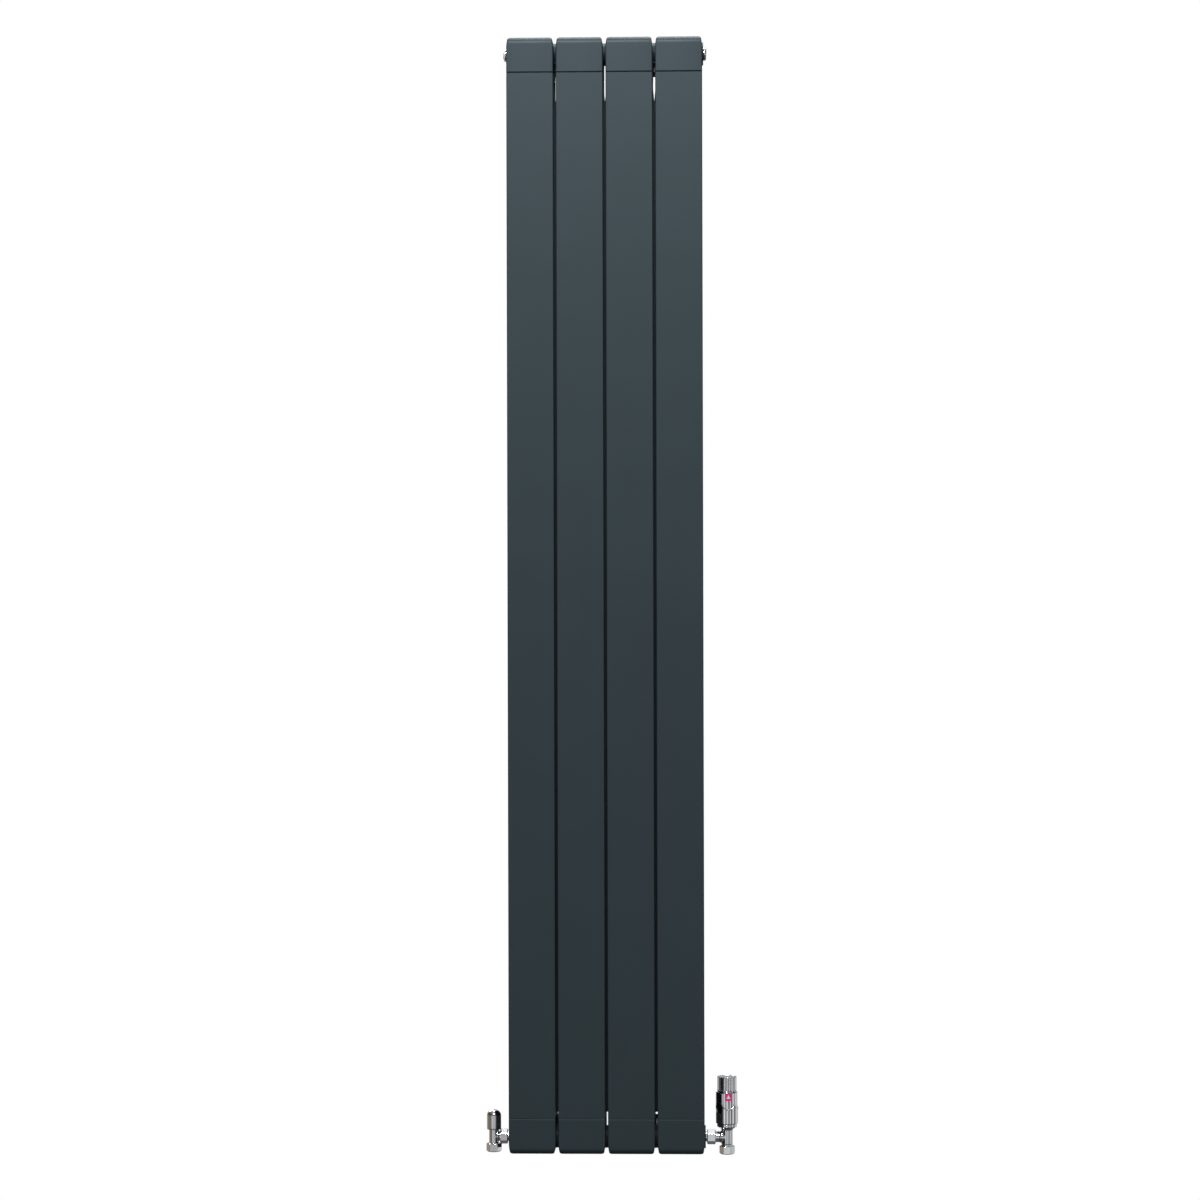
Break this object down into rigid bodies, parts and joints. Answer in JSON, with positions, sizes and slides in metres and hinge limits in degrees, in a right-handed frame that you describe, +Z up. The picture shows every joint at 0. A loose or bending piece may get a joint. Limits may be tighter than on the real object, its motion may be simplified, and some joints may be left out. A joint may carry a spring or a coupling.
{
  "type": "vertical radiator with valves",
  "caption": "Tall flat-fronted vertical aluminium radiator with wall brackets, air vent, thermostatic valve and lockshield valve.",
  "frame": {"origin": "centre of the four wall screw holes, on the wall plane", "axes": "+Z up along the radiator's length, +Y into the wall, +X to the right as seen from the room; the face looks along -Y"},
  "size_m": [0.4095, 0.125, 1.8055],
  "materials": {
    "anthracite_coat": "satin",
    "chrome": "polished",
    "chromed_plastic": "polished",
    "brass": "satin",
    "zinc_steel": "satin",
    "spring_steel": "satin",
    "sensor_metal": "satin",
    "seal_rubber": "matte",
    "white_plastic": "gloss",
    "badge_red": "gloss",
    "badge_white": "gloss",
    "bracket_coat": "satin",
    "black_plastic": "matte"
  },
  "bodies": {
    "radiator": {"section_1": "anthracite_coat", "section_2": "anthracite_coat", "section_3": "anthracite_coat", "section_4": "anthracite_coat", "top_head_1": "anthracite_coat", "top_head_2": "anthracite_coat", "top_head_3": "anthracite_coat", "top_head_4": "anthracite_coat", "bottom_head_1": "anthracite_coat", "bottom_head_2": "anthracite_coat", "bottom_head_3": "anthracite_coat", "bottom_head_4": "anthracite_coat", "top_nipples": "zinc_steel", "bottom_nipples": "zinc_steel", "hub_gaskets": "seal_rubber", "head_seals": "seal_rubber", "bush_seals": "seal_rubber", "plug_seals": "seal_rubber", "trv_stem_o_ring": "seal_rubber", "lockshield_o_ring": "seal_rubber", "bush_top_left": "anthracite_coat", "bush_top_right": "anthracite_coat", "bush_bottom_left": "anthracite_coat", "bush_bottom_right": "anthracite_coat", "vent_body": "chrome", "blanking_plug": "chrome", "trv_body": "chrome", "trv_tailpiece": "chrome", "trv_union_nut": "chrome", "trv_compression_nut": "chrome", "trv_ring_nut": "chrome", "lockshield_body": "chrome", "lockshield_tailpiece": "chrome", "lockshield_union_nut": "chrome", "lockshield_compression_nut": "chrome", "trv_olive": "brass", "trv_insert": "brass", "trv_gland_nut": "brass", "lockshield_olive": "brass", "lockshield_gland_nut": "brass", "trv_head_base": "white_plastic", "trv_insert_spring": "spring_steel", "bracket_top_left": "bracket_coat", "bracket_top_right": "bracket_coat", "bracket_bottom_left": "bracket_coat", "bracket_bottom_right": "bracket_coat", "bracket_pads": "black_plastic"},
    "trv_dial": {"trv_sleeve": "chromed_plastic", "trv_cap": "chromed_plastic", "trv_badge": "badge_red", "trv_badge_mark": "badge_white", "trv_overrun_spring": "spring_steel"},
    "trv_valve_stem": {"trv_stem": "brass", "trv_seat_washer": "seal_rubber", "trv_sensor": "sensor_metal"},
    "lockshield_cap": {"lockshield_cap": "chromed_plastic"},
    "lockshield_spindle": {"lockshield_spindle": "brass"},
    "lockshield_plug": {"lockshield_plug": "brass"},
    "vent_screw": {"vent_screw": "brass"},
    "vent_spout": {"vent_spout": "white_plastic"}
  },
  "joints": [
    {"name": "trv_dial_turn", "type": "hinge", "parent": "radiator", "child": "trv_dial", "pos_m": [0.194, -0.0775, -0.878], "axis": [0, 0, 1], "range_deg": [-145, 145]},
    {"name": "trv_stem_lift", "type": "slide", "parent": "radiator", "child": "trv_valve_stem", "axis": [0, 0, 1], "range_m": [-0.0013, 0.0013], "deforming": ["trv_insert_spring", "trv_overrun_spring"]},
    {"name": "lockshield_cap_lift", "type": "slide", "parent": "radiator", "child": "lockshield_cap", "axis": [0, 0, 1], "range_m": [0, 0.045]},
    {"name": "lockshield_spindle_turn", "type": "hinge", "parent": "radiator", "child": "lockshield_spindle", "pos_m": [-0.1845, -0.0775, -0.878], "axis": [0, 0, 1], "range_deg": [-720, 720]},
    {"name": "lockshield_plug_slide", "type": "slide", "parent": "radiator", "child": "lockshield_plug", "axis": [0, 0, 1], "range_m": [-0.002, 0.002]},
    {"name": "vent_screw_turn", "type": "hinge", "parent": "radiator", "child": "vent_screw", "pos_m": [-0.1595, -0.0775, 0.878], "axis": [-1, 0, 0], "range_deg": [0, 180]},
    {"name": "vent_spout_turn", "type": "hinge", "parent": "radiator", "child": "vent_spout", "pos_m": [-0.1595, -0.0775, 0.878], "axis": [-1, 0, 0], "continuous": true}
  ],
  "couplings": [
    {"joint": "trv_stem_lift", "follows": "trv_dial_turn", "m_per_rad": 0.00049393},
    {"joint": "lockshield_spindle_turn", "follows": "lockshield_plug_slide", "rad_per_m": 6283.1}
  ]
}
